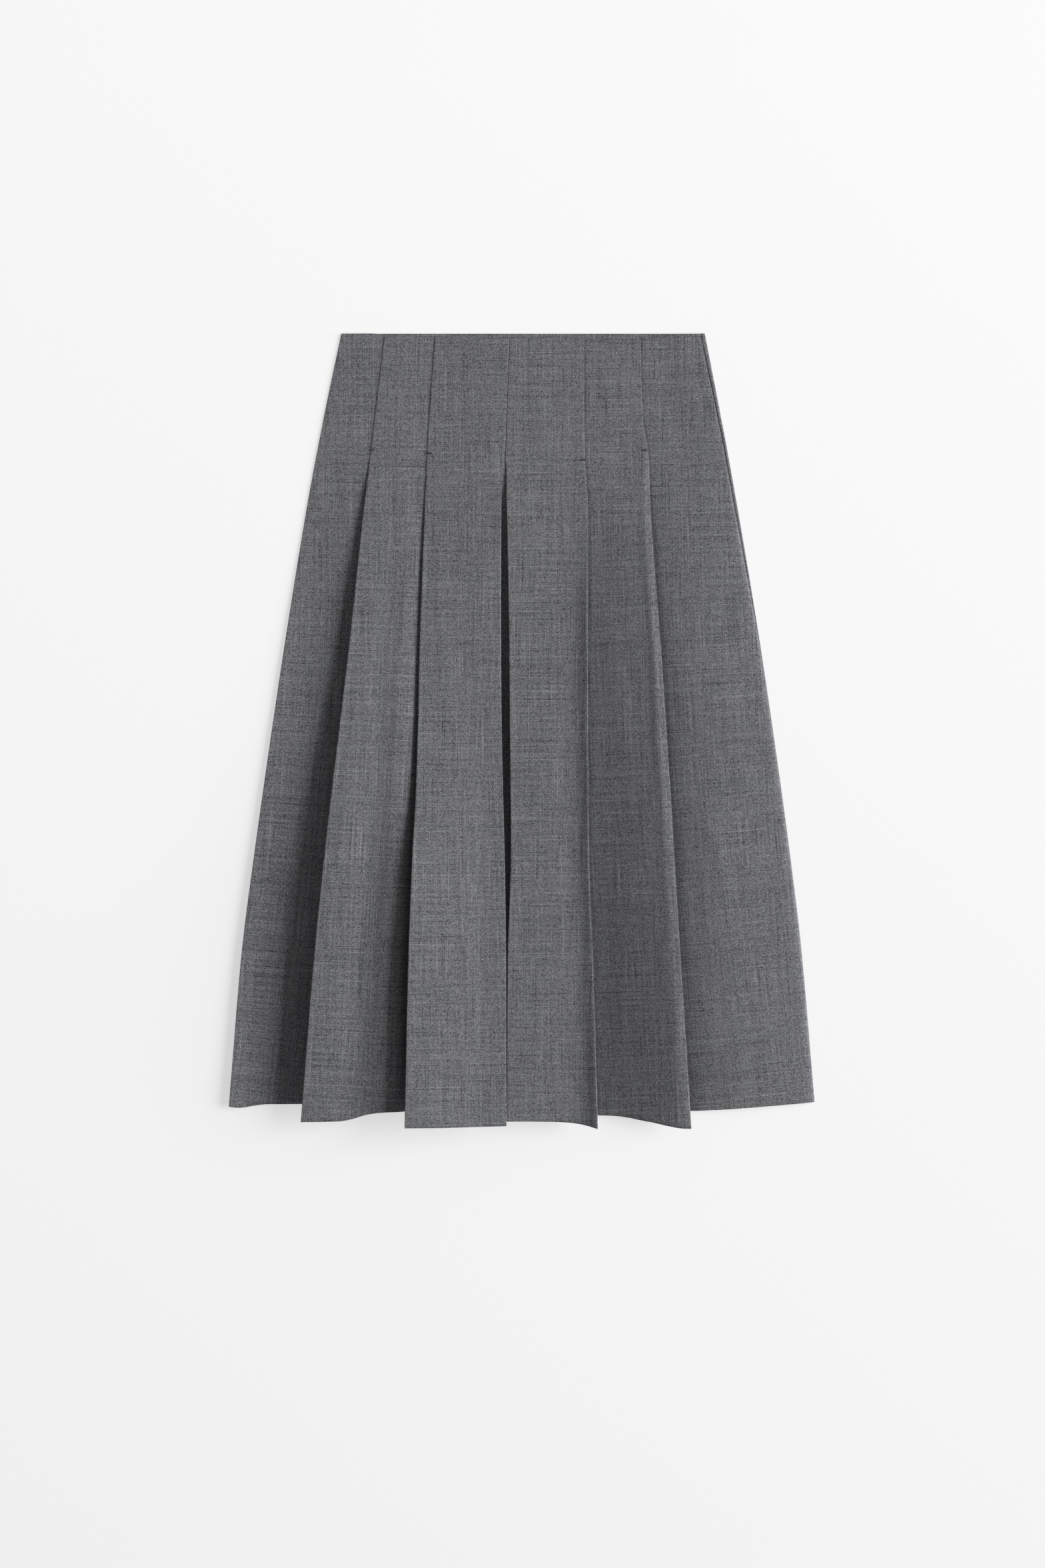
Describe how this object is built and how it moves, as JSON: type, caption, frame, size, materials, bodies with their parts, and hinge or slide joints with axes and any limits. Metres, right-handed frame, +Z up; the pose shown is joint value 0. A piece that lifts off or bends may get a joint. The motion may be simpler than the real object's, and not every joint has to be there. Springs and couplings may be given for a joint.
{
  "type": "pleated midi skirt",
  "caption": "A-line midi skirt in grey wool, laid flat: faced waist, knife pleats and an inverted pleat in front sewn shut near the waist, plain back, concealed side zip.",
  "frame": {"origin": "middle of the underside's bounding box, on the surface that the skirt lies on", "axes": "+Z up from the surface, +Y from hem to waist, +X to the right as seen from above the front"},
  "size_m": [0.5788, 0.7828, 0.0484],
  "materials": {
    "wool_cloth": "matt grey wool suiting, threads of lighter and darker grey",
    "zip_tape": "matt dark grey woven tape"
  },
  "bodies": {
    "root": {"front_side_left": "wool_cloth", "front_panel_left": "wool_cloth", "front_centre_left": "wool_cloth", "front_centre_right": "wool_cloth", "front_panel_right": "wool_cloth", "front_side_right": "wool_cloth", "front_pleat_underlay": "wool_cloth", "back": "wool_cloth", "back_waist_facing": "wool_cloth", "side_zip": "zip_tape"}
  },
  "joints": []
}
